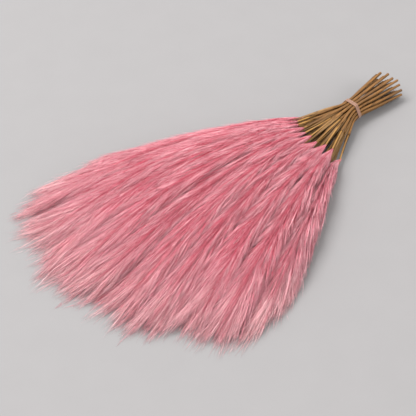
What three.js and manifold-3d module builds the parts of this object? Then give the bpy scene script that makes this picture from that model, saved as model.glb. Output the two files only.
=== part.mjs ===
// A bunch of pampas grass: cut and dried stems with dyed plumes, gathered by one band and laid
// down on a flat surface. Millimetres, +Z up. The bunch lies along X, with its cut ends towards
// +X and its plumes fanned out towards -X. The origin is the centre of the bunch's footprint.
//
// Each grass is two solids, its stem and its plume. The stems are packed in rows where the band
// holds them. From there they spread into a fan of three layers, and each plume fills its own
// cell of that fan: a wedge of the fan's angle and a share of its height. Everything in a plume
// is drawn inside its cell, so no two plumes cross.
import * as THREE from "three";
import { mergeVertices } from "three/addons/utils/BufferGeometryUtils.js";
import Module from "manifold-3d";

const wasm = await Module();
wasm.setup();

// Driving dimensions
const TAIL_LENGTH = 65; // band to the cut ends
const TAIL_STAGGER = 6; // the shortest cut end stops this far before the longest
const STEM_RADIUS = 1.6; // stem wrapped in its dry leaf sheath
const NECK_RADIUS = 0.9; // bare stem just below the plume
const SEAT_GAP = 0.3; // air between two solids that touch
const PACKING_GAP = 0.36; // air between neighbouring stems at the band
const BAND_WIDTH = 3.2;
const BAND_THICKNESS = 0.9;
const BAND_RIDGE = 0.3; // how far the middle of each of its two turns stands out
const BAND_HEIGHT = 14; // middle of the stems above the surface, at the band
const TAIL_HEIGHT = 10.7; // and at the cut ends, which rest on the surface
const TAIL_SPREAD_Y = 1.95; // how far the cut ends splay, against their places at the band
const TAIL_SPREAD_Z = 1.25;
const TAIL_STRAY = 0.8; // and how far each strays to either side
const STEM_SPACING = 2 * STEM_RADIUS + PACKING_GAP;
const WAIST = 3; // the stems run straight for this far on both sides of the band
const STEM_SIDES = 6;
const BAND_SIDES = 28;

// A plume's hair is drawn as stout locks on a slim core. Lengths are shares of the plume's own.
const LOCKS_PER_PLUME = 22;
const LOCK_RADIUS = 2.1;
const FIRST_TIP = 0.09; // where the first lock ends; the last ends at the plume's tip
const SHORTEST_LOCK = 0.14;
const LONGEST_LOCK = 0.36;
const CORE_SIDES = 5;
const LOCK_SIDES = 3;

// The fan. Its lines meet at the apex, which is this far behind the band.
const FAN_APEX = 25;
const FAN_LEAN = 1.6; // degrees that the middle of the fan is turned towards +Y
const BASE_REACH = 100; // apex to the furthest base of a top plume, and its angle
const BASE_ANGLE = -11;
const BASE_ROUNDNESS = 0.02; // how fast the bases draw in to both sides of it
const TIP_REACH = 418; // the same for the tips
const TIP_ANGLE = 5;
const TIP_ROUNDNESS = 0.07;
const MOUND_HEIGHT = 50; // thickest part of the fan
const MOUND_PEAK = 200; // distance from the apex to the thickest part
const MOUND_RISE = 170; // from there the mound would fall to nothing in this distance inwards
const MOUND_FALL = 255; // and in this distance outwards
const MOUND_HALF_ANGLE = 30.5;
const EDGE_ROOM = 1.25; // steps from an outermost plume to the neighbour that it would have
const EDGE_SHARE = 0.42; // half of the mound's height that an edge plume with no neighbour takes
const PRESS = 2.8; // how deep the surface flattens the lowest locks

// How much the grasses differ from each other
const ANGLE_JITTER = 0.2; // of the step between two plumes, to either side
const BASE_JITTER = 3;
const TIP_JITTER = 12;
const THINNEST = 0.88; // the thinnest stem, against the thickest
const SHORTEST_SHEATH = 0.4; // where the sheath ends, as a share of the way to the plume
const LONGEST_SHEATH = 0.85;

// Rows of stems at the band, from the lowest. Each pair of rows becomes one layer of the fan.
const ROWS = [
  { slots: 4, empty: 1 },
  { slots: 5, empty: 0 },
  { slots: 6, empty: 0 },
  { slots: 6, empty: 0 },
  { slots: 5, empty: 0 },
  { slots: 4, empty: 0 },
];
// A layer's step is the mean angle between two plumes in degrees, start is how much further out
// than the top layer's its plumes begin, and shy is how much shorter than the fan they end.
const LAYERS = [
  { name: "bottom", step: 5.6, start: 12, shy: 0 },
  { name: "middle", step: 4.6, start: 3, shy: 2 },
  { name: "top", step: 5, start: 0, shy: 5 },
];

const STEM_COLOUR = "#a67c46";
const PLUME_COLOUR = "#d98a96";
const BAND_COLOUR = "#b98d74";

const radians = THREE.MathUtils.degToRad;
const lerp = THREE.MathUtils.lerp;

// A seeded draw of numbers from 0 to 1, the same on every run.
function seeded(seed) {
  let state = seed;
  return () => {
    state = (state + 0x6d2b79f5) | 0;
    let mixed = Math.imul(state ^ (state >>> 15), 1 | state);
    mixed = (mixed + Math.imul(mixed ^ (mixed >>> 7), 61 | mixed)) ^ mixed;
    return ((mixed ^ (mixed >>> 14)) >>> 0) / 4294967296;
  };
}

// A draw from -most to most.
function jitter(random, most) {
  return most * (2 * random() - 1);
}

// A geometry with its shared vertices merged, as a solid for joining and cutting.
function solidOf(geometry) {
  const bare = new THREE.BufferGeometry();
  bare.setAttribute("position", geometry.getAttribute("position"));
  if (geometry.index) bare.setIndex(geometry.index);
  const merged = mergeVertices(bare, 1e-4);
  return new wasm.Manifold(
    new wasm.Mesh({
      numProp: 3,
      vertProperties: merged.getAttribute("position").array,
      triVerts: new Uint32Array(merged.index.array),
    }),
  );
}

function geometryOf(solid) {
  const { vertProperties, triVerts } = solid.getMesh();
  const geometry = new THREE.BufferGeometry();
  geometry.setAttribute("position", new THREE.BufferAttribute(vertProperties, 3));
  geometry.setIndex(new THREE.BufferAttribute(triVerts, 1));
  geometry.computeVertexNormals();
  return geometry;
}

// Bends a lathed bar, whose axis runs along Y through the whole numbers 0, 1, 2 and so on, onto
// the points of a path, one point to each whole number.
function bendOnto(path, lathed) {
  const places = lathed.getAttribute("position");
  const up = new THREE.Vector3(0, 0, 1);
  for (let i = 0; i < places.count; i++) {
    const station = Math.round(places.getY(i));
    const before = path[Math.max(station - 1, 0)];
    const after = path[Math.min(station + 1, path.length - 1)];
    const along = after.clone().sub(before).normalize();
    const side = along.clone().cross(up).normalize();
    const over = side.clone().cross(along);
    const place = path[station]
      .clone()
      .addScaledVector(side, places.getX(i))
      .addScaledVector(over, places.getZ(i));
    places.setXYZ(i, place.x, place.y, place.z);
  }
  return lathed;
}

// A bar of the given radii, one to each point of the path. A radius of 0 is a sharp end.
function bar(path, radii, sides, turn) {
  const profile = radii.map((radius, station) => new THREE.Vector2(radius, station));
  if (radii[0] > 0) profile.unshift(new THREE.Vector2(0, 0));
  if (radii.at(-1) > 0) profile.push(new THREE.Vector2(0, radii.length - 1));
  return bendOnto(path, new THREE.LatheGeometry(profile, sides, turn));
}

// ---- Places in the fan ----

// Height of the mound of plumes at a distance from the apex and an angle off the bunch's axis.
function moundHeight(distance, angle) {
  const off = distance - MOUND_PEAK;
  const along = 1 - (off / (off < 0 ? MOUND_RISE : MOUND_FALL)) ** 2;
  const across = Math.sqrt(1 - Math.min(Math.abs(angle) / MOUND_HALF_ANGLE, 0.97) ** 2);
  return MOUND_HEIGHT * along * across;
}

// The point at a distance from the apex, an angle in degrees and a share of the mound's height.
function inFan(distance, angle, share) {
  return new THREE.Vector3(
    FAN_APEX - distance * Math.cos(radians(angle)),
    distance * Math.sin(radians(angle)),
    share * (moundHeight(distance, angle) + PRESS) - PRESS,
  );
}

// How far from the apex the plumes begin and end at an angle: two round edges.
function baseReach(angle) {
  return BASE_REACH - BASE_ROUNDNESS * (angle - BASE_ANGLE) ** 2;
}

function tipReach(angle) {
  return TIP_REACH - TIP_ROUNDNESS * (angle - TIP_ANGLE) ** 2;
}

// ---- The grasses ----

// Every grass: its place at the band, and its cell in the fan.
function layOut() {
  const random = seeded(11);
  const grasses = [];
  LAYERS.forEach((layer, level) => {
    const places = [];
    for (const row of [2 * level, 2 * level + 1]) {
      const { slots, empty } = ROWS[row];
      const shift = row < ROWS.length / 2 ? -STEM_SPACING / 4 : STEM_SPACING / 4;
      for (let slot = 0; slot < slots - empty; slot++) {
        places.push({
          y: (slot - (slots - 1) / 2) * STEM_SPACING + shift,
          z: ((row - (ROWS.length - 1) / 2) * STEM_SPACING * Math.sqrt(3)) / 2,
        });
      }
    }
    places.sort((a, b) => a.y - b.y);
    const middle = (places.length - 1) / 2;
    const angles = places.map(
      (_, order) => FAN_LEAN + (order - middle + jitter(random, ANGLE_JITTER)) * layer.step,
    );
    places.forEach((atBand, order) => {
      const angle = angles[order];
      const outermost = order === 0 || order === places.length - 1;
      const before = angles[order - 1] ?? angle - layer.step * EDGE_ROOM;
      const after = angles[order + 1] ?? angle + layer.step * EDGE_ROOM;
      // The outermost plumes of the middle layer have nothing under or over them.
      const alone = level === 1 && outermost;
      grasses.push({
        name: `${layer.name}_${order + 1}`,
        atBand,
        angle,
        towardsMinus: (angle - before) / 2,
        towardsPlus: (after - angle) / 2,
        share: alone ? EDGE_SHARE : (level + 0.5) / LAYERS.length,
        halfShare: alone ? EDGE_SHARE : 0.5 / LAYERS.length,
        start: baseReach(angle) + layer.start + jitter(random, BASE_JITTER),
        end: tipReach(angle) - layer.shy - TIP_JITTER * random(),
        tail: TAIL_LENGTH - TAIL_STAGGER * random(),
        stray: jitter(random, TAIL_STRAY),
        stout: lerp(THINNEST, 1, random()),
        sheathEnd: lerp(SHORTEST_SHEATH, LONGEST_SHEATH, random()),
        seed: Math.floor(random() * 1e6),
      });
    });
  });
  return grasses;
}

// A point inside a plume's cell: along runs in mm from the plume's base, across and above run
// from -1 to 1 between the cell's walls.
function inCell(grass, along, across, above) {
  const halfAngle = across < 0 ? grass.towardsMinus : grass.towardsPlus;
  return inFan(
    grass.start + along,
    grass.angle + across * halfAngle,
    grass.share + above * grass.halfShare,
  );
}

// The middle line of a stem, at x from the cut end to the plume.
function stemPoint(grass, x) {
  const { atBand } = grass;
  if (x >= -WAIST) {
    const out = Math.max(0, x - WAIST) / (TAIL_LENGTH - WAIST);
    return new THREE.Vector3(
      x,
      atBand.y * lerp(1, TAIL_SPREAD_Y, out) + grass.stray * out,
      lerp(BAND_HEIGHT, TAIL_HEIGHT, out) + atBand.z * lerp(1, TAIL_SPREAD_Z, out),
    );
  }
  const base = inCell(grass, 0, 0, 0);
  const out = (-x - WAIST) / (-base.x - WAIST);
  const eased = out * (0.8 + 0.2 * out);
  return new THREE.Vector3(
    x,
    lerp(atBand.y, base.y, eased),
    lerp(BAND_HEIGHT + atBand.z, base.z, eased),
  );
}

// A stem: the sheathed part from the cut end past the band, then the bare neck to the plume.
function stemGeometry(grass) {
  const base = inCell(grass, 0, 0, 0);
  const full = STEM_RADIUS * grass.stout;
  // Each station is [x, radius].
  const stations = [
    [grass.tail, full * 0.86],
    [grass.tail * 0.5, full * 0.92],
    [WAIST, full],
    [-WAIST, full],
    [base.x * grass.sheathEnd * 0.5, full * 0.88],
    [base.x * grass.sheathEnd, full * 0.8],
    [base.x * grass.sheathEnd - 5, NECK_RADIUS],
    [base.x + SEAT_GAP, NECK_RADIUS],
  ];
  const path = stations.map(([x]) => stemPoint(grass, x));
  return bar(path, stations.map(([, radius]) => radius), STEM_SIDES, grass.seed);
}

// How much of its cell a plume fills at a share of its length: narrow at the base, full, and
// drawn in at the tip.
function fullness(share) {
  const open = Math.min(1, 0.3 + share / 0.16);
  const drawnIn = share > 0.75 ? 1 - 0.75 * ((share - 0.75) / 0.25) : 1;
  return open * drawnIn;
}

// Draws a lathed shape inside a cell: its Y counts the sections, each at a length along the plume,
// and its X and Z are the shares of the cell across and above.
function bendIntoCell(grass, lengths, lathed) {
  const places = lathed.getAttribute("position");
  for (let i = 0; i < places.count; i++) {
    const along = lengths[Math.round(places.getY(i))];
    const place = inCell(grass, along, places.getX(i), places.getZ(i));
    places.setXYZ(i, place.x, place.y, place.z);
  }
  return lathed;
}

// The plume's slim core, a spindle round the line of its stem.
function coreGeometry(grass) {
  const length = grass.end - grass.start;
  // Each section is [share of the length, share of the cell's width and height].
  const sections = [
    [0, 0.26],
    [0.1, 0.3],
    [0.35, 0.4],
    [0.6, 0.34],
    [0.86, 0],
  ];
  const profile = sections.map(([, part], section) => new THREE.Vector2(part, section));
  profile.unshift(new THREE.Vector2(0, 0));
  const lengths = sections.map(([share]) => share * length);
  return bendIntoCell(grass, lengths, new THREE.LatheGeometry(profile, CORE_SIDES));
}

// One lock of the plume's hair: it leaves the core at a slant, runs along the plume and ends
// free. The turn is its direction round the core.
function lockGeometry(grass, rootShare, tipShare, turn) {
  const length = grass.end - grass.start;
  const stout = LOCK_RADIUS * Math.min(1, 0.45 + 1.6 * rootShare);
  // A point of the lock's line, kept a lock's thickness inside the walls of the cell.
  const point = (share, out) => {
    const along = share * length;
    const full = out * fullness(share);
    const distance = grass.start + along;
    const halfAngle = Math.cos(turn) < 0 ? grass.towardsMinus : grass.towardsPlus;
    const width = distance * radians(halfAngle);
    const height = (moundHeight(distance, grass.angle) + PRESS) * grass.halfShare;
    const across = full * Math.cos(turn) * Math.max(0, 1 - (stout + SEAT_GAP) / width);
    const above = full * Math.sin(turn) * Math.max(0, 1 - (stout + SEAT_GAP) / height);
    return inCell(grass, along, across, above);
  };
  const path = [
    point(rootShare, 0),
    point(lerp(rootShare, tipShare, 0.5), 0.7),
    point(tipShare, 1),
  ];
  return bar(path, [0, stout, 0], LOCK_SIDES, turn);
}

// A plume: its core and its locks, which go round the core by the golden angle from its base to
// its furthest tip.
function plumeGeometry(grass) {
  const random = seeded(grass.seed);
  const goldenAngle = radians(137.508);
  let plume = solidOf(coreGeometry(grass));
  for (let lock = 0; lock < LOCKS_PER_PLUME; lock++) {
    const order = (lock + 0.5) / LOCKS_PER_PLUME;
    const tipShare = lerp(FIRST_TIP, 1, order);
    const lockShare = lerp(SHORTEST_LOCK, LONGEST_LOCK, order) - 0.03 * random();
    const rootShare = Math.max(0.015, tipShare - lockShare);
    const turn = lock * goldenAngle + random();
    plume = plume.add(solidOf(lockGeometry(grass, rootShare, tipShare, turn)));
  }
  return geometryOf(plume);
}

// ---- The band ----

// The outline of a band pulled tight round the stems: the furthest stem in each direction, and a
// stem's radius out from it.
function bandAnchor(grasses, direction) {
  const across = (grass) => grass.atBand.y * direction.x + grass.atBand.z * direction.y;
  return grasses.reduce((best, grass) => (across(grass) > across(best) ? grass : best)).atBand;
}

// The band has two turns lying side by side, so its outside has two low ridges.
function bandGeometry(grasses) {
  const half = BAND_WIDTH / 2;
  const inner = STEM_RADIUS + SEAT_GAP;
  const outer = inner + BAND_THICKNESS;
  const profile = [
    [inner, -half],
    [outer - BAND_RIDGE, -half],
    [outer, -0.55 * half],
    [outer - BAND_RIDGE, 0],
    [outer, 0.55 * half],
    [outer - BAND_RIDGE, half],
    [inner, half],
    [inner, -half],
  ];
  const ring = new THREE.LatheGeometry(
    profile.map(([radius, height]) => new THREE.Vector2(radius, height)),
    BAND_SIDES,
  );
  const places = ring.getAttribute("position");
  for (let i = 0; i < places.count; i++) {
    const flat = new THREE.Vector2(places.getX(i), places.getZ(i));
    const anchor = bandAnchor(grasses, flat.clone().normalize());
    places.setXYZ(i, -places.getY(i), anchor.y + flat.x, BAND_HEIGHT + anchor.z + flat.y);
  }
  return ring;
}

// ---- The bunch ----

function finish(colour, roughness) {
  return new THREE.MeshStandardMaterial({ color: colour, roughness, metalness: 0 });
}

function build() {
  const grasses = layOut();
  const bunch = new THREE.Group();
  // What lies on the surface is flattened level with it.
  const addPiece = (name, geometry, material) => {
    const solid = solidOf(geometry).trimByPlane([0, 0, 1], 0);
    const mesh = new THREE.Mesh(geometryOf(solid), material);
    mesh.name = name;
    bunch.add(mesh);
  };
  const stemFinish = finish(STEM_COLOUR, 0.7);
  const plumeFinish = finish(PLUME_COLOUR, 0.9);
  for (const grass of grasses) {
    addPiece(`stem_${grass.name}`, stemGeometry(grass), stemFinish);
    addPiece(`plume_${grass.name}`, plumeGeometry(grass), plumeFinish);
  }
  addPiece("band", bandGeometry(grasses), finish(BAND_COLOUR, 0.6));
  const box = new THREE.Box3().setFromObject(bunch);
  bunch.position.set(-(box.min.x + box.max.x) / 2, -(box.min.y + box.max.y) / 2, 0);
  return bunch;
}

export default build();
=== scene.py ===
import math

import bmesh
import bpy
import numpy as np
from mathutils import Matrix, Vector


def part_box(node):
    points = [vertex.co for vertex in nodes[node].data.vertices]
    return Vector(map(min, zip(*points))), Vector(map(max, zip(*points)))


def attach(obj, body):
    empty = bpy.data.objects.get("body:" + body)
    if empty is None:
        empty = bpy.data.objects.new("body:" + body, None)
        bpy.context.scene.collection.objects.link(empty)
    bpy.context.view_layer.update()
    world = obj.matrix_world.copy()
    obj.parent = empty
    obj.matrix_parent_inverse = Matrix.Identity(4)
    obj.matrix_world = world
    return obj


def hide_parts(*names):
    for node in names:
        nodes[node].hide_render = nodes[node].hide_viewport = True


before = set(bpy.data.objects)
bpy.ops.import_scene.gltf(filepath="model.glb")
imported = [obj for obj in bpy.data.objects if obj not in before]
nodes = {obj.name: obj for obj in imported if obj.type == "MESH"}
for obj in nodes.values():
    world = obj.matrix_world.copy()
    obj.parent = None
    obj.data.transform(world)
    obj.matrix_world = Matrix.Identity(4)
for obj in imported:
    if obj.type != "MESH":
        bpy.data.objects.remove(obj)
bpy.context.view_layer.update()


# ---- The stems ----
# Each is a dried grass stalk of about 3 mm: a hard round culm, wrapped in the sheath of its last
# leaf nearly up to the plume, with a few dead papery leaf strips still on it. They were cut to
# one length with shears, and the culm runs on bare and golden from the sheath into the plume.
MM = 0.001
chance = np.random.default_rng(7)
# The rings that a stem's solid is drawn through, from its plume to its cut end
AT_PLUME, AT_MOUTH, BEFORE_BAND, PAST_BAND, AT_CUT = 0, 2, 4, 5, -1
RING_GAP = 2.2 * MM  # those rings stand further apart than this
RING_STEP = 3.2 * MM  # from ring to ring of the finer stem
STEM_CLEARANCE = 1.34  # a stem's least height, in radii, for its open sheath to clear the table
CULM_SIDES = 8
CULM_SHARE = 0.72  # the culm's radius against the sheath's
CULM_AT_NECK = 0.9  # and its least radius, against the neck of the solid
SHEATH_AT_NECK = 1.12  # the sheath's least radius, against the neck too
SHEATH_SIDES = 12
SHEATH_WALL = 0.14 * MM
INNER_EDGE = 0.97  # the rolled sheath's radius at its inner edge, against the solid's
ROLL = 0.1  # how far its outer edge stands off from there
MOUTH_WIDE = 0.25  # and how much further it does at the mouth
MOUTH_LENGTH = 9 * MM  # how much of the sheath opens at its mouth
MOUTH_BACK = 0.55  # how far the mouth may lie towards the band, as a share of the way there
TONGUE = 11 * MM  # how far the mouth runs out on its longer side
# Dead leaf strips between the band and the plume: how many, the shares of that way where they
# start and end, and how far they wander to the side, in millimetres
STRIPS = {"top": 7, "middle": 7, "bottom": 6}
STRIP_START = (0.02, 0.3)
STRIP_END_FROM = 0.55
STRIP_END_TO = 1.2
STRIP_WANDER = 5
# The same between the band and the cut end
TAIL_STRIPS = 2
TAIL_STRIP_START = (0, 0.2)
TAIL_STRIP_END = (0.6, 0.96)
TAIL_STRIP_WANDER = 2.5
# A strip bends to the sides, sags and is twisted and curled as it dried
STRIP_BEND = 0.5  # in millimetres
STRIP_SAG = (-0.6, 3.4)  # in millimetres
STRIP_TILT = 0.9  # in radians
STRIP_CURL = 0.6  # how high its edges stand, against its half width
STRIP_CLEARANCE = 0.3 * MM
STRIP_HALF_WIDTH = (0.4 * MM, 1.3 * MM)
STRIP_EDGE = 0.05 * MM  # its half width at its very tip
STRIP_WALL = 0.12 * MM
STRIP_RINGS = 18
STRIP_STEP = 3 * MM  # from ring to ring of its grain
# At the sides nothing hides the strips, so they end sooner and wander less
OUTERMOST = ("stem_middle_1", "stem_middle_12")
OUTERMOST_END_TO = 0.85
OUTERMOST_WANDER = 0.3


def stations_of(node):
    """Centre and radius of each ring that a stem's solid is drawn through, from the plume on."""
    points = np.array([v.co for v in nodes[node].data.vertices])
    points = np.unique(points.round(6), axis=0)
    rings = np.split(points, np.flatnonzero(np.diff(points[:, 0]) > RING_GAP) + 1)
    rings = [ring for ring in rings if len(ring) > 3]
    centres = np.array([ring.mean(0) for ring in rings])
    radii = [np.linalg.norm(ring - ring.mean(0), axis=1).max() for ring in rings]
    return centres, np.array(radii)


def smooth(at, places, values):
    """A smooth curve through values at growing places, read at other places."""
    slopes = np.gradient(values, places, axis=0)
    i = np.clip(np.searchsorted(places, at) - 1, 0, len(places) - 2)
    step = places[i + 1] - places[i]
    t = (at - places[i]) / step
    if values.ndim > 1:
        step, t = step[:, None], t[:, None]
    return (
        values[i] * (1 + 2 * t) * (1 - t) ** 2
        + values[i + 1] * t**2 * (3 - 2 * t)
        + step * t * (1 - t) * (slopes[i] * (1 - t) - slopes[i + 1] * t)
    )


def directions(line):
    """At each point of a line: along it, level across it, and up from it."""
    along = np.gradient(line, axis=0)
    along /= np.linalg.norm(along, axis=1)[:, None]
    side = np.cross(along, (0, 0, 1))
    side /= np.linalg.norm(side, axis=1)[:, None]
    return along, side, np.cross(side, along)


def join(whole, bm, slot, end_slot):
    """Moves a finished part into the whole mesh, with its finish and that of its cut ends, which
    are its only faces with more than four corners."""
    bmesh.ops.recalc_face_normals(bm, faces=bm.faces)
    for face in bm.faces:
        cut_end = len(face.verts) > 4
        face.material_index = end_slot if cut_end else slot
        face.smooth = not cut_end
    part = bpy.data.meshes.new("part")
    bm.to_mesh(part)
    bm.free()
    whole.from_mesh(part)
    bpy.data.meshes.remove(part)


def tube(line, sides, capped, place):
    """A tube along a line. Its straight shape is kept as the grain, for the fibres to follow."""
    rings = len(line)
    bm = bmesh.new()
    bmesh.ops.create_cone(
        bm,
        cap_ends=capped,
        segments=sides,
        radius1=1,
        radius2=1,
        depth=rings - 1,
    )
    lengthwise = [e for e in bm.edges if abs(e.verts[0].co.z - e.verts[1].co.z) > 0.5]
    bmesh.ops.subdivide_edges(bm, edges=lengthwise, cuts=rings - 2, use_grid_fill=True)
    grain = bm.verts.layers.float_vector.new("grain")
    along, side, over = directions(line)
    run = np.concatenate([[0], np.cumsum(np.linalg.norm(np.diff(line, axis=0), axis=1))])
    start = chance.uniform(0, 1)
    for vert in bm.verts:
        ring = round(vert.co.z + (rings - 1) / 2)
        turn = math.atan2(vert.co.y, vert.co.x)
        radius, forward = place(ring, turn)
        y, z = radius * math.cos(turn), radius * math.sin(turn)
        vert.co = Vector(line[ring] + y * side[ring] + z * over[ring] + forward * along[ring])
        vert[grain] = Vector((start + run[ring] + forward, y, z))
    return bm


def add_strip(whole, line, half_widths, tilt, curl):
    """A dead leaf strip along a line: thin, curled across, twisted, and pointed at its end."""
    bm = bmesh.new()
    rings = len(line)
    bmesh.ops.create_grid(bm, x_segments=rings - 1, y_segments=2, size=1)
    grain = bm.verts.layers.float_vector.new("grain")
    _, side, over = directions(line)
    start = chance.uniform(0, 1)
    for vert in bm.verts:
        ring = round((vert.co.x + 1) / 2 * (rings - 1))
        across = vert.co.y * half_widths[ring]
        bowed = curl * half_widths[ring] * vert.co.y**2
        cos, sin = math.cos(tilt[ring]), math.sin(tilt[ring])
        wide = cos * side[ring] + sin * over[ring]
        high = cos * over[ring] - sin * side[ring]
        vert.co = Vector(line[ring] + across * wide + bowed * high)
        vert[grain] = Vector((start + ring * STRIP_STEP, across, 0))
    bmesh.ops.solidify(bm, geom=bm.faces[:], thickness=STRIP_WALL)
    join(whole, bm, 2, 2)


def lay_strip(whole, reach, centres, ends, path, wander):
    """Lays a dead leaf strip along a share of a stem, off to its side and down beside it."""
    share = np.linspace(0, 1, STRIP_RINGS)
    path = np.linspace(*path, STRIP_RINGS)
    x = ends[0] + (ends[1] - ends[0]) * path
    strip = smooth(np.clip(x, reach[0], reach[-1]), reach, centres)
    strip[:, 0] = x
    strip[:, 1] += wander * path**1.2
    strip[:, 1] += chance.normal(0, STRIP_BEND) * MM * np.sin(path * 5)
    strip[:, 2] -= chance.uniform(*STRIP_SAG) * MM * np.sin(path * math.pi * 0.6)
    # It is widest before its middle, and runs out to a point.
    half = chance.uniform(*STRIP_HALF_WIDTH)
    belly = 0.4 + 0.6 * np.sin(math.pi * share**0.8)
    half_widths = half * belly * (1 - share**6) + STRIP_EDGE
    tilt = chance.uniform(-STRIP_TILT, STRIP_TILT) + chance.normal(0, STRIP_TILT) * share
    curl = chance.uniform(-STRIP_CURL, STRIP_CURL)
    lowest = half * (np.abs(np.sin(tilt)) + abs(curl)) + STRIP_CLEARANCE
    strip[:, 2] = np.maximum(strip[:, 2], lowest)
    add_strip(whole, strip, half_widths, tilt, curl)


def linear(hex_colour):
    """An sRGB hex colour as the linear colour that a shader takes."""
    parts = [int(hex_colour[i : i + 2], 16) / 255 for i in (1, 3, 5)]
    return (*(p / 12.92 if p <= 0.04045 else ((p + 0.055) / 1.055) ** 2.4 for p in parts), 1)


def add(material, kind, settings=None, **inputs):
    """Adds a shader node. An input is a value or the socket that feeds it, by name or as _number."""
    tree = material.node_tree
    node = tree.nodes.new(kind)
    for name, value in (settings or {}).items():
        setattr(node, name, value)
    for name, value in inputs.items():
        key = int(name[1:]) if name[0] == "_" else name.replace("_", " ")
        socket = node.inputs[key]
        if isinstance(value, bpy.types.NodeSocket):
            tree.links.new(value, socket)
        else:
            socket.default_value = value
    return node


def new_material(name):
    """A bare material, for its nodes to be added to."""
    material = bpy.data.materials.new(name)
    material.use_nodes = True
    material.node_tree.nodes.clear()
    return material


def straw(name, pale, deep, aged, roughness, specular):
    """Dried grass fibre. Its fibres run lengthwise, so it has long narrow streaks, it aged darker
    in blotches, and each blade or stalk has a tone of its own."""
    material = new_material(name)
    grain = add(material, "ShaderNodeAttribute", {"attribute_name": "grain"})
    # Streaks 0.4 mm wide and 30 mm long, and blotches 6 mm long
    fibre_grid = add(
        material,
        "ShaderNodeMapping",
        Vector=grain.outputs["Vector"],
        Scale=(35, 2600, 2600),
    )
    fibres = add(
        material,
        "ShaderNodeTexNoise",
        Vector=fibre_grid.outputs[0],
        Scale=1,
        Detail=3,
    )
    blotch_grid = add(
        material,
        "ShaderNodeMapping",
        Vector=grain.outputs["Vector"],
        Scale=(160, 420, 420),
    )
    blotches = add(
        material,
        "ShaderNodeTexNoise",
        Vector=blotch_grid.outputs[0],
        Scale=1,
        Detail=2,
    )
    # The tone changes over some 90 mm, more than the length of a dead blade
    tone_grid = add(
        material,
        "ShaderNodeMapping",
        Vector=grain.outputs["Vector"],
        Scale=(11, 0, 0),
    )
    tones = add(
        material,
        "ShaderNodeTexNoise",
        Vector=tone_grid.outputs[0],
        Scale=1,
        Detail=1,
    )
    fibre = add(
        material,
        "ShaderNodeMapRange",
        Value=fibres.outputs["Fac"],
        From_Min=0.35,
        From_Max=0.68,
    )
    fresh = add(
        material,
        "ShaderNodeMix",
        {"data_type": "RGBA"},
        _0=fibre.outputs[0],
        _6=linear(pale),
        _7=linear(deep),
    )
    blotch = add(
        material,
        "ShaderNodeMapRange",
        Value=blotches.outputs["Fac"],
        From_Min=0.5,
        From_Max=0.78,
    )
    tone = add(
        material,
        "ShaderNodeMapRange",
        Value=tones.outputs["Fac"],
        From_Min=0.42,
        From_Max=0.66,
        To_Max=0.75,
    )
    worn = add(
        material,
        "ShaderNodeMath",
        {"operation": "MAXIMUM"},
        _0=blotch.outputs[0],
        _1=tone.outputs[0],
    )
    colour = add(
        material,
        "ShaderNodeMix",
        {"data_type": "RGBA"},
        _0=worn.outputs[0],
        _6=fresh.outputs[2],
        _7=linear(aged),
    )
    bump = add(
        material,
        "ShaderNodeBump",
        Height=fibres.outputs["Fac"],
        Strength=0.5,
        Distance=0.08 * MM,
    )
    shader = add(
        material,
        "ShaderNodeBsdfPrincipled",
        Base_Color=colour.outputs[2],
        Normal=bump.outputs[0],
        Roughness=roughness,
        Specular_IOR_Level=specular,
    )
    add(material, "ShaderNodeOutputMaterial", Surface=shader.outputs[0])
    return material


# Tan leaf sheath, dull and ribbed
sheath_finish = straw("dried_leaf_sheath", "#8e6333", "#6c4a25", "#4b341c", 0.55, 0.25)
# Bare golden culm, with the low gloss of its hard skin
culm_finish = straw("dried_bare_culm", "#b0823d", "#926830", "#714f29", 0.38, 0.45)
# Dead leaf blades, from tan to a grey brown
leaf_finish = straw("dead_leaf_blade", "#9d794d", "#745637", "#483424", 0.75, 0.2)
# Pith in the cut ends, pale and coarse
pith_finish = straw("cut_pith", "#c9a46c", "#a98050", "#866438", 0.8, 0.2)

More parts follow.
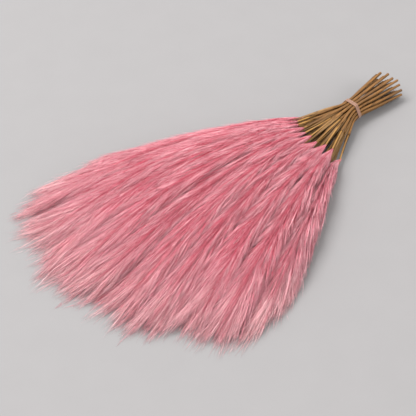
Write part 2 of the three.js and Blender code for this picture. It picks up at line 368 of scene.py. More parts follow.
for node in sorted(n for n in nodes if n.startswith("stem_")):
    centres, radii = stations_of(node)
    reach = centres[:, 0]
    at = np.linspace(reach[0], reach[-1], int((reach[-1] - reach[0]) / RING_STEP))
    line = smooth(at, reach, centres)
    thick = np.interp(at, reach, radii)
    line[:, 2] = np.maximum(line[:, 2], thick * STEM_CLEARANCE + 2 * SHEATH_WALL)
    neck = radii[AT_PLUME]
    whole = bmesh.new()
    whole.verts.layers.float_vector.new("grain")
    # The culm, from inside the plume to the cut end
    culm = np.maximum(thick * CULM_SHARE, neck * CULM_AT_NECK)
    join(whole, tube(line, CULM_SIDES, True, lambda ring, turn: (culm[ring], 0)), 1, 3)
    # The sheath, a rolled sheet that thickens to its outer edge, from its mouth to the cut end
    sheathed = reach[BEFORE_BAND] - reach[AT_MOUTH]
    mouth = reach[AT_MOUTH] + chance.uniform(0, MOUTH_BACK) * sheathed
    kept = at >= mouth
    sheath = np.maximum(thick[kept], neck * SHEATH_AT_NECK)
    edge = chance.uniform(-math.pi, math.pi)

    def rolled(ring, turn):
        way = (turn - edge) % (2 * math.pi) / (2 * math.pi)
        opening = max(0.0, 1 - ring * RING_STEP / MOUTH_LENGTH)
        radius = sheath[ring] * (INNER_EDGE + ROLL * way + MOUTH_WIDE * opening * way)
        forward = -TONGUE * opening * max(0.0, math.cos(turn - edge)) ** 2
        return radius, forward

    wrapped = tube(line[kept], SHEATH_SIDES, False, rolled)
    bmesh.ops.solidify(wrapped, geom=wrapped.faces[:], thickness=SHEATH_WALL)
    join(whole, wrapped, 0, 0)
    # The dead leaf strips, which lie beside and under the stem
    outermost = node in OUTERMOST
    end_to = OUTERMOST_END_TO if outermost else STRIP_END_TO
    freedom = OUTERMOST_WANDER if outermost else 1
    ends = (reach[BEFORE_BAND], reach[AT_PLUME])
    for _ in range(STRIPS[node.split("_")[1]]):
        path = (chance.uniform(*STRIP_START), chance.uniform(STRIP_END_FROM, end_to))
        wander = chance.uniform(-STRIP_WANDER, STRIP_WANDER) * freedom * MM
        lay_strip(whole, reach, centres, ends, path, wander)
    ends = (reach[PAST_BAND], reach[AT_CUT])
    for _ in range(TAIL_STRIPS):
        path = (chance.uniform(*TAIL_STRIP_START), chance.uniform(*TAIL_STRIP_END))
        wander = chance.uniform(-TAIL_STRIP_WANDER, TAIL_STRIP_WANDER) * MM
        lay_strip(whole, reach, centres, ends, path, wander)
    mesh = bpy.data.meshes.new(node + "_dried")
    whole.to_mesh(mesh)
    whole.free()
    for finish in (sheath_finish, culm_finish, leaf_finish, pith_finish):
        mesh.materials.append(finish)
    piece = bpy.data.objects.new(node + "_dried", mesh)
    bpy.context.scene.collection.objects.link(piece)
    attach(piece, "root")
    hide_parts(node)


# ---- The band ----
# A flat woven elastic in a dusty pink beige, put round the stems twice and pulled tight, so it
# runs straight from each outer stem to the next. Its two turns lie side by side.
BAND_STEPS = 720
BAND_WAYS = 1440  # in how many directions the furthest stem is looked for
BAND_ROUNDING = 6  # how often the bends over the stems are smoothed
BAND_ROOM = 0.22 * MM  # air between the stems' solids and the band
BAND_PROFILE = 20
BAND_HALF_THICK = 0.42 * MM
TURN_HALF_WIDTH = 1.08 * MM
TURNS = (-1.05 * MM, 1.05 * MM)
TURN_DRIFT = (0.09 * MM, 0.12 * MM)  # how far a turn strays to the sides on its way round
HOOP = 8  # the radius that a turn is spun at, before it is laid along the band's line
RIB_PITCH = 0.75 * MM
RIB_DEPTH = 0.07 * MM
WEFT_DEPTH = 0.5 * RIB_DEPTH  # how far every second cross thread stands out
WEAVE_PITCH = 1 * MM  # two cross threads of 0.5 mm

band_low, band_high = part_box("band")
band_x = (band_low.x + band_high.x) / 2
gripped = []
for node in sorted(n for n in nodes if n.startswith("stem_")):
    centres, radii = stations_of(node)
    y, z = (np.interp(band_x, centres[:, 0], centres[:, i]) for i in (1, 2))
    gripped.append((y, z, np.interp(band_x, centres[:, 0], radii)))
gripped = np.array(gripped)


def pulled_tight(room):
    """The closed line of a band pulled round the stems, in even steps, and the way out from it."""
    way = np.linspace(0, 2 * math.pi, BAND_WAYS, endpoint=False)
    out = np.stack((np.cos(way), np.sin(way)), 1)
    furthest = (out @ gripped[:, :2].T + gripped[:, 2]).argmax(1)
    points = gripped[furthest, :2] + out * (gripped[furthest, 2, None] + room)
    closed = np.vstack((points, points[:1]))
    run = np.concatenate([[0], np.cumsum(np.linalg.norm(np.diff(closed, axis=0), axis=1))])
    at = np.linspace(0, run[-1], BAND_STEPS, endpoint=False)
    line = np.stack([np.interp(at, run, closed[:, i]) for i in (0, 1)], 1)
    for _ in range(BAND_ROUNDING):
        line = (np.roll(line, 1, 0) + 2 * line + np.roll(line, -1, 0)) / 4
    ahead = np.roll(line, -1, 0) - np.roll(line, 1, 0)
    ahead /= np.linalg.norm(ahead, axis=1)[:, None]
    return line, np.stack((ahead[:, 1], -ahead[:, 0]), 1), run[-1]


band_line, band_out, band_length = pulled_tight(BAND_ROOM + BAND_HALF_THICK)
whole = bmesh.new()
whole.verts.layers.float_vector.new("grain")
for number, offset in enumerate(TURNS):
    bm = bmesh.new()
    ring = bmesh.ops.create_circle(bm, segments=BAND_PROFILE, radius=1)
    for vert in ring["verts"]:
        vert.co = Vector((vert.co.x + HOOP, 0, vert.co.y))
    bmesh.ops.spin(
        bm,
        geom=bm.edges[:],
        cent=(0, 0, 0),
        axis=(0, 0, 1),
        angle=2 * math.pi,
        steps=BAND_STEPS,
        use_merge=True,
    )
    grain = bm.verts.layers.float_vector.new("grain")
    for vert in bm.verts:
        way = math.atan2(vert.co.y, vert.co.x) % (2 * math.pi)
        step = round(way / (2 * math.pi) * BAND_STEPS) % BAND_STEPS
        out, across = math.hypot(vert.co.x, vert.co.y) - HOOP, vert.co.z
        # Its round profile is squared off to a flat one.
        out = math.copysign(abs(out) ** 0.6, out) * BAND_HALF_THICK
        across = math.copysign(abs(across) ** 0.75, across) * TURN_HALF_WIDTH
        if out > 0:
            out += RIB_DEPTH * math.cos(2 * math.pi * across / RIB_PITCH)
            out += WEFT_DEPTH * math.cos(math.pi * step)
        drift = TURN_DRIFT[0] * math.sin(3 * way + 2 * number)
        drift += TURN_DRIFT[1] * math.sin(way + number)
        y, z = band_line[step] + band_out[step] * out
        vert.co = Vector((band_x + offset + drift + across, y, z))
        vert[grain] = Vector((step * band_length / BAND_STEPS, across + offset, out))
    join(whole, bm, 0, 0)
mesh = bpy.data.meshes.new("tie_band_woven")
whole.to_mesh(mesh)
whole.free()

# Woven elastic: cross threads of 0.5 mm under ribs, with painted shade in the hollows of the weave and
# painted highlights on the ribs that catch the light, and fuzzy from use
elastic_finish = new_material("woven_elastic")
grain = add(elastic_finish, "ShaderNodeAttribute", {"attribute_name": "grain"})
weave = add(
    elastic_finish,
    "ShaderNodeTexWave",
    {"wave_type": "BANDS", "bands_direction": "X"},
    Vector=grain.outputs["Vector"],
    Scale=1 / WEAVE_PITCH / 20 * 2 * math.pi,
    Distortion=1.5,
    Detail=1,
)
ribs = add(
    elastic_finish,
    "ShaderNodeTexWave",
    {"wave_type": "BANDS", "bands_direction": "Y"},
    Vector=grain.outputs["Vector"],
    Scale=1 / RIB_PITCH / 20 * 2 * math.pi,
    Distortion=0.4,
)
fuzz_grid = add(
    elastic_finish,
    "ShaderNodeMapping",
    Vector=grain.outputs["Vector"],
    Scale=(900, 1600, 1600),
)
fuzz = add(
    elastic_finish,
    "ShaderNodeTexNoise",
    Vector=fuzz_grid.outputs[0],
    Scale=1,
    Detail=3,
)
height = add(
    elastic_finish,
    "ShaderNodeMath",
    {"operation": "MULTIPLY"},
    _0=weave.outputs["Fac"],
    _1=fuzz.outputs["Fac"],
)
# Painted shade: the weave is darker where it lies low
thread = add(
    elastic_finish,
    "ShaderNodeMix",
    {"data_type": "RGBA"},
    _0=height.outputs[0],
    _6=linear("#745343"),
    _7=linear("#997664"),
)
# Painted highlight: the ribs are lighter
lit_rib = add(
    elastic_finish,
    "ShaderNodeMix",
    {"data_type": "RGBA"},
    _0=ribs.outputs["Fac"],
    _6=thread.outputs[2],
    _7=linear("#967361"),
)
bump = add(
    elastic_finish,
    "ShaderNodeBump",
    Height=height.outputs[0],
    Strength=0.8,
    Distance=0.12 * MM,
)
shader = add(
    elastic_finish,
    "ShaderNodeBsdfPrincipled",
    Base_Color=lit_rib.outputs[2],
    Normal=bump.outputs[0],
    Roughness=0.85,
    Specular_IOR_Level=0.2,
    Sheen_Weight=0.3,
)
add(elastic_finish, "ShaderNodeOutputMaterial", Surface=shader.outputs[0])
mesh.materials.append(elastic_finish)
piece = bpy.data.objects.new("tie_band_woven", mesh)
bpy.context.scene.collection.objects.link(piece)
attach(piece, "root")
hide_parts("band")


# ---- The plumes ----
# Each is a long feathery head of fine silky hairs, dyed pink. Side branches leave its spine at a
# slant and run on towards its tip, and their hair hangs together in locks that end in a point.
FAN_APEX = 25 * MM  # behind the band, where the lines of all the plumes meet
# The heap of plumes: its height, where it is highest, how far it falls off before and behind
# that, and its half width as an angle
MOUND_HEIGHT = 50 * MM
MOUND_PEAK = 200 * MM
MOUND_RISE = 170 * MM
MOUND_FALL = 255 * MM
MOUND_HALF_ANGLE = 30.5
MOUND_EDGE = 0.97  # the share of that angle past which the heap gets no lower
PRESS = 2.8 * MM  # how far the heap is pressed down on the table
EDGE_PLUMES = ("plume_middle_1", "plume_middle_12")  # at the sides, where they show in full
FADED_AND_PAINTED_LIGHT = ("plume_middle_1",)  # its dye is paler, and painted light lifts it against the shade on its side away from the lamp
# Its form: a cone at its base, and drawn in at its tip
CONE_START = 0.05
CONE_LENGTH = 0.11
TIP_START = 0.8
DRAWN_IN = 0.18
BASE_SHARE = 0.12  # the share of the branches that end in the cone at the plume's base
BASE_EARLY = 4 * MM  # how far the lowest hairs run down the stem
SPINE_SHARE = 0.07  # the share of the branches that run along the spine
SPINE_UP = (0.4, 0.8)  # how high the spine lies in the plume, from 0 in the middle to 1 on top
SPINE_OFF = 0.2  # how far it lies to one side
DROOP = 0.85  # how far the tip sinks
DROOP_START = 0.55  # from which share of its length
# Its locks, with their lengths as shares of the plume's
LOCKS = 150
HAIRS_ON_BRANCH = 11
LOCK_LENGTH = 0.08  # of the first lock
LOCK_LONGER = 0.14  # by how much the last one is longer
LOCK_FREE = 0.7  # how far out from the spine a lock may already start
PARTING = 0.7  # how far the branches of a lock part, in turn round the plume, in radians
UNEVEN = 0.1  # how far the tips of the branches fall short
STRAIGHT = 0.7  # how straight a hair is, from the curve of its branch to a line
STRAYS = 0.1  # the share of the hairs that stand off in wisps
STRAY_SLANT = 16  # by how many degrees at the most
TREMBLE = 0.25 * MM  # how far the hairs lie off their places
# How far the branches mingle with the next plume's, against the cell's half width. A plume at the
# edge of the fan has one value for its outer side and one for the side towards its neighbour.
REACH = 1.65
REACH_OUT = 1.45
REACH_IN = 2.0
# How it lies on its neighbours
LEAN = 0.12  # how much higher one side of it lies than the other
OVER = (0.03, -0.02)  # how far every second plume on top lies up or down, against the mound
EDGE_OVER = 0.1  # and how far those at the sides lie up
# Its bends, in degrees
SWAY = 0.9  # how far all the plumes bend to the sides together
OWN_SWAY = 0.4  # and each on its own
SIDES = (-33, 30.4)  # the fan's edges, beyond which the hair is pressed in
SIDE_PRESS = 0.72  # by which share of what would stand past them
SIDE_TUCK = 2  # how much closer the plume at the right edge lies at its base
SIDE_TUCK_FROM = -20  # from which angle outwards
# The tips' distance from the apex, in millimetres, at angles across the fan
RIM_ANGLES = (-27.5, -26.8, -25.5, -24, -21.5, -16.7, -12, -7.7, 0, 9, 12, 15, 21, 23.8, 25.9, 27.1, 29.1)
RIM_MM = (290, 311, 326, 350, 369, 377, 380, 406, 405, 416, 400, 406, 407, 385, 360, 310, 314)
# Long hairs lie along the branches and short ones stand off them, on all sides. Each kind has its
# number on a plume of each layer, its slant in degrees, its radius, how much its dye differs from
# its branch's, how much thinner it is at the plume's tip, and its taper from root to tip.
LONG = {
    "top": 6300,
    "middle": 1300,
    "bottom": 1800,
    "points": 3,
    "length": (28 * MM, 58 * MM),
    "slant": (0.3, 2.2),
    "radius": 0.2 * MM,
    "unlike": 0.17,
    "thinning": 0.35,
    "taper": (1.0, 0.8, 0.0),
}
SHORT = {
    "top": 9000,
    "middle": 2000,
    "bottom": 2800,
    "points": 2,
    "length": (10 * MM, 22 * MM),
    "slant": (4, 14),
    "radius": 0.16 * MM,
    "unlike": 0.12,
    "thinning": 0.35,
    "taper": (1.0, 0.0),
}
# Side stems carry the hair, and show as thin straight lines
SIDE_STEM = {"points": 3, "radius": 0.27 * MM, "thinning": 0.7, "taper": (0.8, 0.9, 0.0)}
# Each needle's thickness: thinnest at the plume's base, with a few that are thick
NEEDLE_THIN = 0.75
NEEDLE_THICKER = 0.95
NEEDLE_AT_BASE = 0.72
NEEDLE_SWELL = 0.28  # and how much it gains from there
# The dye with its painted light and shade, from 0 at its deepest to 1 at its palest
TONES = 16  # depths of dye and painted shade on the hair's map, side by side, with as many places along the plume
DARK_STRANDS = 0.12  # the share of the branches painted deepest, as thin painted shadow lines between strands
PALE_END = 0.3  # how much paler the branches at the tip are, partly their own paleness and partly painted light against the shade under the rim
FADED_AND_PAINTED_LIGHT_PLACE = 0.06  # a plume given paler dye and painted light is as pale as the others are this much nearer to their tips
FADED_AND_PAINTED_LIGHT_TONE = 0.3  # and its strands are paler by this
COVERED_PAINTED_SHADE = -0.25  # while those of a covered plume are darker, as painted shade where it lies under the others
DARK_STREAKS = 0.4  # the share of the side stems that show as dark streaks between the pale ones: painted shadow lines
STREAK_TONES = (0.08, 0.95)
GOLDEN_ANGLE = math.radians(137.508)  # turns each lock away from those before it
TABLE_GAP = 0.3 * MM  # the least height of a hair
TABLE_EASE = 1.2 * MM  # how gently it is lifted to it

apex = np.array((band_x + FAN_APEX, (band_low.y + band_high.y) / 2))


def mound_height(distance, angle):
    """How high the heap of plumes is: it swells from the stems, and flattens to its edges."""
    off = distance - MOUND_PEAK
    along = 1 - (off / np.where(off < 0, MOUND_RISE, MOUND_FALL)) ** 2
    across = np.sqrt(1 - np.minimum(np.abs(angle) / MOUND_HALF_ANGLE, MOUND_EDGE) ** 2)
    return MOUND_HEIGHT * along * across


def in_fan(distance, angle, share):
    """The point at a distance from the apex, an angle and a share of the mound's height."""
    radians = np.radians(angle)
    return np.stack(
        (
            apex[0] - distance * np.cos(radians),
            apex[1] + distance * np.sin(radians),
            share * (mound_height(distance, angle) + PRESS) - PRESS,
        ),
        axis=-1,
    )


def cell_of(node):
    """The plume's own cell in the fan, as its solid fills it."""
    points = np.array([v.co for v in nodes[node].data.vertices])
    dx, dy = apex[0] - points[:, 0], points[:, 1] - apex[1]
    distance = np.hypot(dx, dy)
    angle = np.degrees(np.arctan2(dy, dx))
    share = (points[:, 2] + PRESS) / (mound_height(distance, angle) + PRESS)
    first = distance < distance.min() + 1 * MM
    middle, level = angle[first].mean(), share[first].mean()
    minus, plus = middle - angle.min(), angle.max() - middle
    early = BASE_EARLY * (2 if node in EDGE_PLUMES else 1)
    _, layer, number = node.split("_")
    over = OVER[int(number) % 2] if layer == "top" else 0
    over = EDGE_OVER if node in EDGE_PLUMES else over
    inside = REACH_IN if node in EDGE_PLUMES else REACH
    return {
        "open": layer == "top" or node in EDGE_PLUMES,
        "angle": middle,
        "minus": minus * (REACH_OUT if middle < 0 and node in EDGE_PLUMES else inside),
        "plus": plus * (REACH_OUT if middle > 0 and node in EDGE_PLUMES else inside),
        "share": level,
        "over": over,
        "half": np.abs(share - level).max(),
        "start": distance.min() - early,
        "length": distance.max() - distance.min() + early,
    }


def fullness(share):
    """How much of its cell the plume fills: a cone at the base, and drawn in at the tip."""
    opened = np.minimum(1, CONE_START + share / CONE_LENGTH)
    drawn_in = 1 - DRAWN_IN * np.clip((share - TIP_START) / 0.2, 0, 1)
    return opened * drawn_in


def squared(value):
    """Turns a round outline towards a square one, so that plumes side by side leave no valley."""
    return np.sign(value) * np.abs(value) ** 0.5


def grow(cell, count, draw):
    """The branches of a plume: a function that follows them, their ends and their tones."""
    # A lock leaves the spine at its root, swings out, and runs on to its tip in the cell.
    order = (np.arange(LOCKS) + 0.5) / LOCKS
    lock_tip = 0.03 + 0.97 * order**0.85
    lock_size = LOCK_LENGTH + LOCK_LONGER * order**0.8 + draw.uniform(-0.02, 0.05, LOCKS)
    lock_turn = np.arange(LOCKS) * GOLDEN_ANGLE + draw.uniform(0, 1, LOCKS)
    lock_out = draw.uniform(0.05, 1.0, LOCKS) ** 0.4
    lock_free = draw.uniform(0, 1, LOCKS) ** 2 * LOCK_FREE
    # Long locks have the most branches, those at the very tip fewer, and a covered plume has
    # most of them far out, where it shows.
    weight = lock_size * (0.75 + lock_tip) * (1 - 0.45 * np.clip((lock_tip - 0.85) / 0.15, 0, 1))
    weight *= lock_tip ** (0 if cell["open"] else 1.5)
    # Its branches part from it, a few run along the spine, and a few make up the base.
    lock = draw.choice(LOCKS, count, p=weight / weight.sum())
    tip = lock_tip[lock] + draw.normal(0, 0.02, count)
    root = np.maximum(0, tip - lock_size[lock] * draw.uniform(0.8, 1.2, count))
    base = draw.uniform(0, 1, count) < BASE_SHARE
    tip = np.where(base, draw.uniform(0.04, 0.17, count), tip)
    root = np.where(base, 0, root)
    turn = lock_turn[lock] + draw.normal(0, PARTING, count)
    out_to = np.clip(lock_out[lock] + draw.normal(0, 0.18, count), 0.05, 1)
    free = np.clip(lock_free[lock] + draw.normal(0, 0.1, count), 0, 1)
    spine = draw.uniform(0, 1, count) < SPINE_SHARE
    spine_up, spine_off = draw.uniform(*SPINE_UP), draw.uniform(-SPINE_OFF, SPINE_OFF)
    end_across = np.where(spine, spine_off, out_to * squared(np.cos(turn)))
    end_above = np.where(spine, spine_up + 0.3, out_to * squared(np.sin(turn)))
    lean = draw.uniform(-LEAN, LEAN)
    own_sway, phase = draw.uniform(0.4, 1) * OWN_SWAY, draw.uniform(0, 2 * math.pi)
    # The dye with painted shade: deeper inside the plume, the spine and a few branches as painted shadow
    # lines, and paler at the tip, partly painted light
    outer = np.minimum(1, np.hypot(end_across, end_above))
    tone = (0.2 + 0.8 * draw.uniform(0, 1, count) ** 0.5) * (0.8 + 0.2 * outer)
    tone = np.where(spine | (draw.uniform(0, 1, count) < DARK_STRANDS), 0.3 * tone, tone)
    tone += PALE_END * np.clip((tip - 0.75) / 0.25, 0, 1)

    def turned(share, across):
        """The angle in the fan at a share of the plume's length, with its bends."""
        angle = cell["angle"] + across * np.where(across < 0, cell["minus"], cell["plus"])
        angle += SWAY * share * np.sin(3.2 + 0.3 * cell["angle"] + 4 * share)
        angle += own_sway * share * np.sin(phase + 6 * share)
        tucked = np.clip(share / 0.04, 0, 1) * np.clip(1 - share / 0.4, 0, 1)
        angle += SIDE_TUCK * tucked * np.clip((SIDE_TUCK_FROM - angle) / 4, 0, 1)
        return angle - SIDE_PRESS * (angle - np.clip(angle, *SIDES))

    # A branch that would pass the rim is drawn in, and the tips are uneven.
    rim = np.interp(turned(tip, end_across * fullness(tip)), RIM_ANGLES, RIM_MM) * MM
    reach = np.minimum(cell["length"] * 1.1, rim - cell["start"])
    reach *= 1 - draw.uniform(0, 1, count) ** 2 * UNEVEN

    def follow(mine, q):
        """The point at a share q of each branch."""
        share = root[mine] + (tip - root)[mine] * q
        swung = free[mine] + (1 - free[mine]) * (1 - (1 - np.minimum(q, 1)) ** 1.3)
        full = fullness(share)
        across = (spine_off * (1 - swung) + end_across[mine] * swung) * full
        above = (spine_up * (1 - swung) + end_above[mine] * swung) * full + lean * across
        tipness = 0 if cell["open"] else np.clip((share - 0.7) / 0.3, 0, 1.2)
        height = cell["share"] + above * cell["half"] * (1 + tipness)
        rising, falling = np.clip((share - 0.08) / 0.3, 0, 1), np.clip((1 - share) / 0.4, 0, 1)
        height += cell["over"] * rising * falling
        height *= 1 - DROOP * np.clip((share - DROOP_START) / 0.45, 0, 1.05) ** 1.6
        return in_fan(cell["start"] + share * reach[mine], turned(share, across), height)

    return follow, root, tip, tone


def comb(cell, follow, root, tip, kind, count, draw):
    """The points of the hairs of one kind, and the branch of each."""
    mine = draw.integers(0, len(root), count)
    # Hairs are shorter at the plume's base and tip, and none is longer than its branch.
    frayed = np.clip((tip[mine] - 0.8) / 0.2, 0, 1)
    length = draw.uniform(*kind["length"], count) * (1 - 0.3 * frayed)
    length *= np.minimum(1, 0.4 + root[mine] / 0.25)
    length = np.minimum(length, 0.9 * (tip - root)[mine] * cell["length"])
    span = length / ((tip - root)[mine] * cell["length"])
    q = draw.uniform(0, 1, count) ** 0.8 * np.maximum(0.12, 1 - 0.9 * span)
    share = np.linspace(0, 1, kind["points"])
    line = np.stack([follow(mine, q + span * t) for t in share], 1)
    chord = line[:, :1] + share[:, None] * (line[:, -1:] - line[:, :1])
    line += STRAIGHT * (chord - line)
    # Each hair leaves its branch at a slant, on any side.
    _, side, over = frames(line)
    toward = draw.uniform(0, 2 * math.pi, count)
    slant = draw.uniform(*kind["slant"], count)
    stray = (draw.uniform(0, 1, count) < STRAYS) & (root[mine] > 0.15)
    slant = np.where(stray, np.minimum(3.5 * slant, STRAY_SLANT), slant)
    away = np.cos(toward)[:, None] * side[:, 0] + np.sin(toward)[:, None] * over[:, 0]
    parted = length * np.tan(np.radians(slant))
    parted *= np.where(root[mine] == 0, 0.5, 1 + 0.6 * frayed)
    line += (parted[:, None] * share**0.9)[..., None] * away[:, None]
    line += draw.normal(0, TREMBLE, (count, 1, 3))
    # The tip is frayed, more to the sides than up.
    line += draw.normal(0, 1, (count, 1, 3)) * (frayed[:, None, None] * (2 * MM, 2 * MM, 1 * MM))
    return off_floor(line), mine


def off_floor(line):
    """Lifts what would lie in the floor to just above it."""
    z = line[..., 2]
    line[..., 2] = TABLE_GAP + (z + np.sqrt(z**2 + TABLE_EASE**2)) / 2
    return line


def frames(line):
    """At each point of many lines: along the line, level across it, and up from it."""
    along = np.gradient(line, axis=1)
    along /= np.linalg.norm(along, axis=2)[..., None]
    side = np.cross(along, (0, 0, 1))
    side /= np.linalg.norm(side, axis=2)[..., None]
    return along, side, np.cross(side, along)


def needle(points):
    """One hair: for each corner its point along the hair and its turn round it, and the faces."""
    bm = bmesh.new()
    bmesh.ops.create_cone(
        bm,
        cap_ends=True,
        segments=3,
        radius1=1,
        radius2=0,
        depth=points - 1,
    )
    bmesh.ops.remove_doubles(bm, verts=bm.verts, dist=1e-4)
    if points > 2:
        lengthwise = [e for e in bm.edges if abs(e.verts[0].co.z - e.verts[1].co.z) > 0.5]
        bmesh.ops.subdivide_edges(bm, edges=lengthwise, cuts=points - 2)
    bmesh.ops.triangulate(bm, faces=bm.faces)
    bmesh.ops.recalc_face_normals(bm, faces=bm.faces)
    bm.verts.index_update()
    stations = np.array([round(v.co.z + (points - 1) / 2) for v in bm.verts])
    turns = np.array([math.atan2(v.co.y, v.co.x) for v in bm.verts])
    faces = np.array([[v.index for v in face.verts] for face in bm.faces])
    bm.free()
    return stations, turns, faces


def swept(kind, lines, tones, places, draw):
    """The corners, faces and map of every hair of one kind, as closed three-sided needles."""
    stations, turns, faces = needle(kind["points"])
    _, side, over = frames(lines)
    # Most hairs are thin, and a few are thick enough to be seen one by one.
    thickness = NEEDLE_THIN + NEEDLE_THICKER * draw.uniform(0, 1, len(lines)) ** 3
    radius = kind["radius"] * thickness
    radius *= 1 - kind["thinning"] * np.clip((places - 0.7) / 0.3, 0, 1)
    radius *= NEEDLE_AT_BASE + NEEDLE_SWELL * np.clip(places / 0.35, 0, 1)
    radius = (radius[:, None] * np.array(kind["taper"]))[:, stations, None]
    twist = draw.uniform(0, 2 * math.pi, len(lines))[:, None, None] + turns[:, None]
    outward = np.cos(twist) * side[:, stations] + np.sin(twist) * over[:, stations]
    corners = lines[:, stations] + radius * outward
    faces = faces + np.arange(len(lines))[:, None, None] * len(stations)
    # Across the map each depth of dye and painted shade holds every place along the plume, and up it lies
    # the hair.
    place = np.clip(places * TONES, 0, TONES - 1).astype(int)
    column = np.clip(tones * TONES, 0, TONES - 1).astype(int) * TONES + place
    u = (column[:, None] + 0.1 + 0.8 * (turns % (2 * math.pi)) / (2 * math.pi)) / TONES**2
    v = np.broadcast_to(stations / (kind["points"] - 1), u.shape)
    return corners.reshape(-1, 3), faces.reshape(-1, 3), np.stack((u, v), -1).reshape(-1, 2)


def hair_mesh(name, batches):
    """The hairs of a plume as one mesh."""
    starts = np.cumsum([0] + [len(corners) for corners, _, _ in batches])
    corners = np.concatenate([batch[0] for batch in batches])
    faces = np.concatenate([batch[1] + start for batch, start in zip(batches, starts)])
    chart = np.concatenate([batch[2] for batch in batches])
    mesh = bpy.data.meshes.new(name)
    mesh.vertices.add(len(corners))
    mesh.vertices.foreach_set("co", corners.ravel())
    mesh.loops.add(faces.size)
    mesh.loops.foreach_set("vertex_index", faces.ravel())
    mesh.polygons.add(len(faces))
    mesh.polygons.foreach_set("loop_start", np.arange(0, faces.size, 3))
    mesh.polygons.foreach_set("use_smooth", np.ones(len(faces), bool))
    mesh.update(calc_edges=True)
    layer = mesh.uv_layers.new(name="OFBake")
    layer.data.foreach_set("uv", chart[faces.ravel()].ravel())
    return mesh


# Dyed grass hair: silky and dull. Painted shade makes it deeper near the roots and inside the plume,
# where the hair shades itself; the fine tips are paler, partly their own and partly painted light; so
# dark red streaks lie between paler strands.
hair_finish = new_material("dyed_grass_hair_with_painted_light_and_shade")
chart = add(hair_finish, "ShaderNodeUVMap", {"uv_map": "OFBake"})
place = add(hair_finish, "ShaderNodeSeparateXYZ", Vector=chart.outputs[0])
up_hair = add(
    hair_finish,
    "ShaderNodeMapRange",
    Value=place.outputs[1],
    From_Min=0.25,
    From_Max=1.0,
)
from_root = add(
    hair_finish,
    "ShaderNodeMapRange",
    Value=place.outputs[1],
    From_Min=0.0,
    From_Max=0.45,
)
column = add(
    hair_finish,
    "ShaderNodeMath",
    {"operation": "MULTIPLY"},
    _0=place.outputs[0],
    _1=TONES,
)
depth_number = add(
    hair_finish,
    "ShaderNodeMath",
    {"operation": "FLOOR"},
    _0=column.outputs[0],
)
along_plume = add(
    hair_finish,
    "ShaderNodeMath",
    {"operation": "FRACT"},
    _0=column.outputs[0],
)
far_out = add(
    hair_finish,
    "ShaderNodeMapRange",
    Value=along_plume.outputs[0],
    From_Min=0.78,
    From_Max=1.0,
)
# The strand's tone: deep where it carries painted shade, pale where it carries painted light
strand_tone_with_painted_light_and_shade = add(
    hair_finish,
    "ShaderNodeMapRange",
    Value=depth_number.outputs[0],
    From_Max=TONES - 1,
)
# Painted shade: the hair is darker near its root, deep inside the plume
root_dye_with_painted_shade = add(
    hair_finish,
    "ShaderNodeMix",
    {"data_type": "RGBA"},
    _0=from_root.outputs[0],
    _6=linear("#dc7a8c"),
    _7=linear("#edb2b8"),
)
tip_dye_with_painted_root_shade = add(
    hair_finish,
    "ShaderNodeMix",
    {"data_type": "RGBA"},
    _0=up_hair.outputs[0],
    _6=root_dye_with_painted_shade.outputs[2],
    _7=linear("#f1b4bd"),
)
# Paler at the plume's far end: partly its own pale tips, partly painted light against the shade under the
# rim
far_dye_with_painted_light = add(
    hair_finish,
    "ShaderNodeMix",
    {"data_type": "RGBA"},
    _0=far_out.outputs[0],
    _6=tip_dye_with_painted_root_shade.outputs[2],
    _7=linear("#fdd4d4"),
)
# The strand's tone as a colour, from the deep red of painted shade to nearly white
strand_dye_with_painted_light_and_shade = add(
    hair_finish,
    "ShaderNodeMix",
    {"data_type": "RGBA"},
    _0=strand_tone_with_painted_light_and_shade.outputs[0],
    _6=linear("#db8296"),
    _7=linear("#fdfbfc"),
)
# The hair's colour: its dye times the strand's tone, with the painted light and shade of both
dye = add(
    hair_finish,
    "ShaderNodeMix",
    {"data_type": "RGBA", "blend_type": "MULTIPLY"},
    _0=1.0,
    _6=far_dye_with_painted_light.outputs[2],
    _7=strand_dye_with_painted_light_and_shade.outputs[2],
)
shader = add(
    hair_finish,
    "ShaderNodeBsdfPrincipled",
    Base_Color=dye.outputs[2],
    Roughness=0.55,
    Specular_IOR_Level=0.25,
)
add(hair_finish, "ShaderNodeOutputMaterial", Surface=shader.outputs[0])

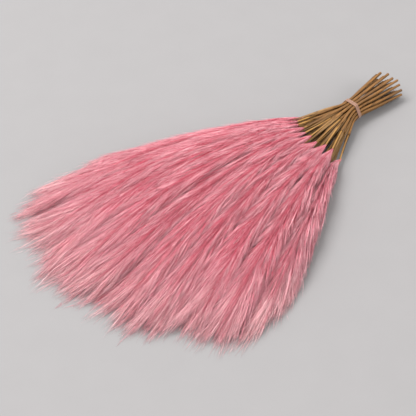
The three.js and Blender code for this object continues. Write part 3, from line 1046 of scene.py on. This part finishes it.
for number, node in enumerate(sorted(n for n in nodes if n.startswith("plume_"))):
    draw = np.random.default_rng(100 + number)
    layer = "top" if node in EDGE_PLUMES else node.split("_")[1]
    cell = cell_of(node)
    # The side stems, some of them as dark streaks of painted shadow between the strands, which fade out
    # to the base and the tip
    branches = (LONG[layer] + SHORT[layer]) // HAIRS_ON_BRANCH
    follow, root, tip, tone = grow(cell, branches, draw)
    every = np.arange(branches)
    lines = np.stack([follow(every, np.full(branches, q)) for q in (0, 0.45, 0.95)], 1)
    streak = np.where(draw.uniform(0, 1, branches) < DARK_STREAKS, *STREAK_TONES)
    middle = (root + tip) / 2
    streak = tone + (streak - tone) * np.clip(middle / 0.4, 0, 1) * np.clip((1 - middle) / 0.3, 0, 1)
    batches = [swept(SIDE_STEM, off_floor(lines), streak, middle, draw)]
    # The hairs, each in nearly its branch's tone
    # The plume at the right edge gets paler dye and painted light against the shade on its side away from
    # the lamp, and a covered plume gets painted shade
    fade_and_painted_light = FADED_AND_PAINTED_LIGHT_PLACE if node in FADED_AND_PAINTED_LIGHT else 0
    fade_painted_light_and_shade = 0 if cell["open"] else COVERED_PAINTED_SHADE
    fade_painted_light_and_shade = FADED_AND_PAINTED_LIGHT_TONE if node in FADED_AND_PAINTED_LIGHT else fade_painted_light_and_shade
    for kind in (LONG, SHORT):
        lines, mine = comb(cell, follow, root, tip, kind, kind[layer], draw)
        places = (root + tip)[mine] / 2 + draw.normal(0, 0.03, len(mine))
        shift = fade_painted_light_and_shade * np.clip((1 - places) / 0.4, 0, 1)
        tones = tone[mine] + draw.normal(0, kind["unlike"], len(mine)) + shift
        places += fade_and_painted_light
        batches.append(swept(kind, lines, tones, places, draw))
    mesh = hair_mesh(node + "_hair", batches)
    mesh.materials.append(hair_finish)
    piece = bpy.data.objects.new(node + "_hair", mesh)
    bpy.context.scene.collection.objects.link(piece)
    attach(piece, "root")
    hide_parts(node)


# ---- The floor, the light and the camera ----
# A plain pale table top under one wide soft lamp at the upper left of the picture, with a weaker
# one across from it. The camera looks down on the bunch from the front, half way between its
# side and its plumes.
LAMP_POWER = 114  # in watts, as the next
FILL_POWER = 38
SKY_STRENGTH = 1.25
CAMERA_DISTANCE = 1622 * MM
CAMERA_TARGET = (2.08 * MM, 38.72 * MM, -58.12 * MM)
CAMERA_AZIMUTH = 45.5
CAMERA_ELEVATION = 45
CAMERA_LENS = 135

# Matt painted table top, with a faint mottle
floor_finish = new_material("matt_table_top")
coordinates = add(floor_finish, "ShaderNodeTexCoord")
mottle = add(
    floor_finish,
    "ShaderNodeTexNoise",
    Vector=coordinates.outputs["Object"],
    Scale=30,
    Detail=4,
)
tone = add(
    floor_finish,
    "ShaderNodeMix",
    {"data_type": "RGBA"},
    _0=mottle.outputs["Fac"],
    _6=linear("#878585"),
    _7=linear("#8a8888"),
)
shader = add(
    floor_finish,
    "ShaderNodeBsdfPrincipled",
    Base_Color=tone.outputs[2],
    Roughness=0.9,
    Specular_IOR_Level=0.1,
)
add(floor_finish, "ShaderNodeOutputMaterial", Surface=shader.outputs[0])
bm = bmesh.new()
bmesh.ops.create_grid(bm, x_segments=1, y_segments=1, size=6)
mesh = bpy.data.meshes.new("floor")
bm.to_mesh(mesh)
bm.free()
mesh.materials.append(floor_finish)
floor = bpy.data.objects.new("floor", mesh)
bpy.context.scene.collection.objects.link(floor)

world = bpy.data.worlds.new("studio")
world.use_nodes = True
world.node_tree.nodes["Background"].inputs["Color"].default_value = (1, 1, 1, 1)
world.node_tree.nodes["Background"].inputs["Strength"].default_value = SKY_STRENGTH
bpy.context.scene.world = world

turn, rise = math.radians(CAMERA_AZIMUTH), math.radians(CAMERA_ELEVATION)
look = Vector((math.sin(turn) * math.cos(rise), math.cos(turn) * math.cos(rise), -math.sin(rise)))
right = Vector((math.cos(turn), -math.sin(turn), 0))
ahead = Vector((math.sin(turn), math.cos(turn), 0))

lamp_data = bpy.data.lights.new("softbox", "AREA")
lamp_data.shape = "SQUARE"
lamp_data.size = 1.8
lamp_data.energy = LAMP_POWER
lamp = bpy.data.objects.new("softbox", lamp_data)
bpy.context.scene.collection.objects.link(lamp)
lamp.location = -right * 1.4 + ahead * 0.37 + Vector((0, 0, 2.65))
lamp.rotation_euler = (-lamp.location).to_track_quat("-Z", "Y").to_euler()

fill_data = bpy.data.lights.new("fill", "AREA")
fill_data.shape = "SQUARE"
fill_data.size = 2.0
fill_data.energy = FILL_POWER
fill = bpy.data.objects.new("fill", fill_data)
bpy.context.scene.collection.objects.link(fill)
fill.location = right * 2.6 - ahead * 0.8 + Vector((0, 0, 1.3))
fill.rotation_euler = (-fill.location).to_track_quat("-Z", "Y").to_euler()

camera_data = bpy.data.cameras.new("camera")
camera_data.lens = CAMERA_LENS
camera_data.sensor_width = 36
camera_data.clip_end = 20
camera = bpy.data.objects.new("camera", camera_data)
bpy.context.scene.collection.objects.link(camera)
camera.location = Vector(CAMERA_TARGET) - look * CAMERA_DISTANCE
camera.rotation_euler = look.to_track_quat("-Z", "Y").to_euler()
bpy.context.scene.camera = camera
bpy.context.scene.view_settings.view_transform = "Standard"
